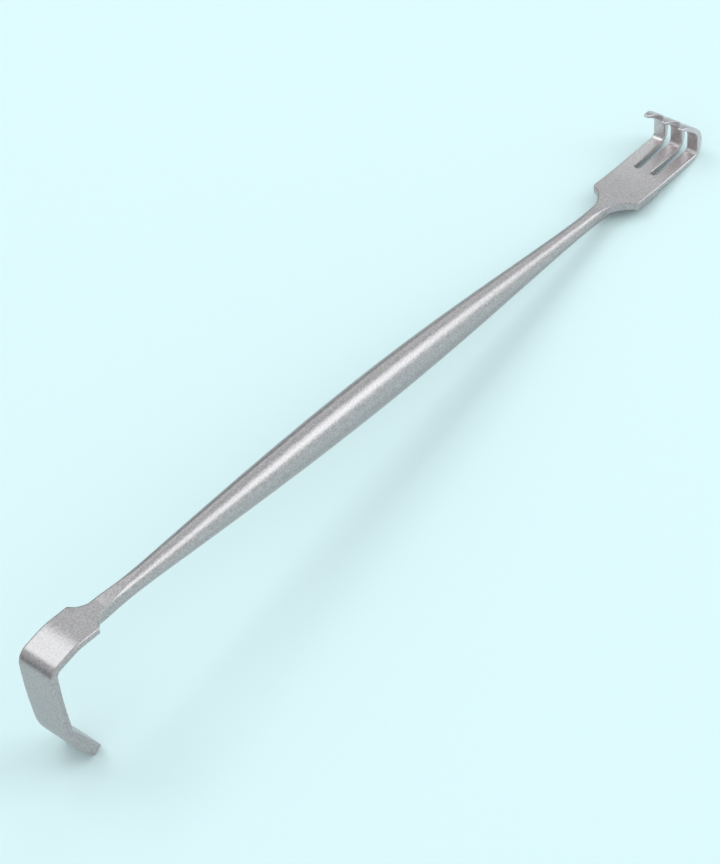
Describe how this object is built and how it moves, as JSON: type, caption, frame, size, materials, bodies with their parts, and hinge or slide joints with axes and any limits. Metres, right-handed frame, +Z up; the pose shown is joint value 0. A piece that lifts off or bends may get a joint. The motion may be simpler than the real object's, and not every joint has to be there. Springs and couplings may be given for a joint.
{
  "type": "handheld surgical retractor",
  "caption": "Double-ended handheld surgical retractor: a spindle handle with a bent flat blade at one end and a rake of curled prongs at the other.",
  "frame": {"origin": "middle of the length and width, on the table the retractor rests on", "axes": "+X from the bent blade towards the pronged rake, +Y across the blade, +Z up"},
  "size_m": [0.1602, 0.0098, 0.0236],
  "materials": {
    "steel": "satin-finished stainless steel, fine matt grain"
  },
  "bodies": {
    "root": {"retractor": "steel"}
  },
  "joints": []
}
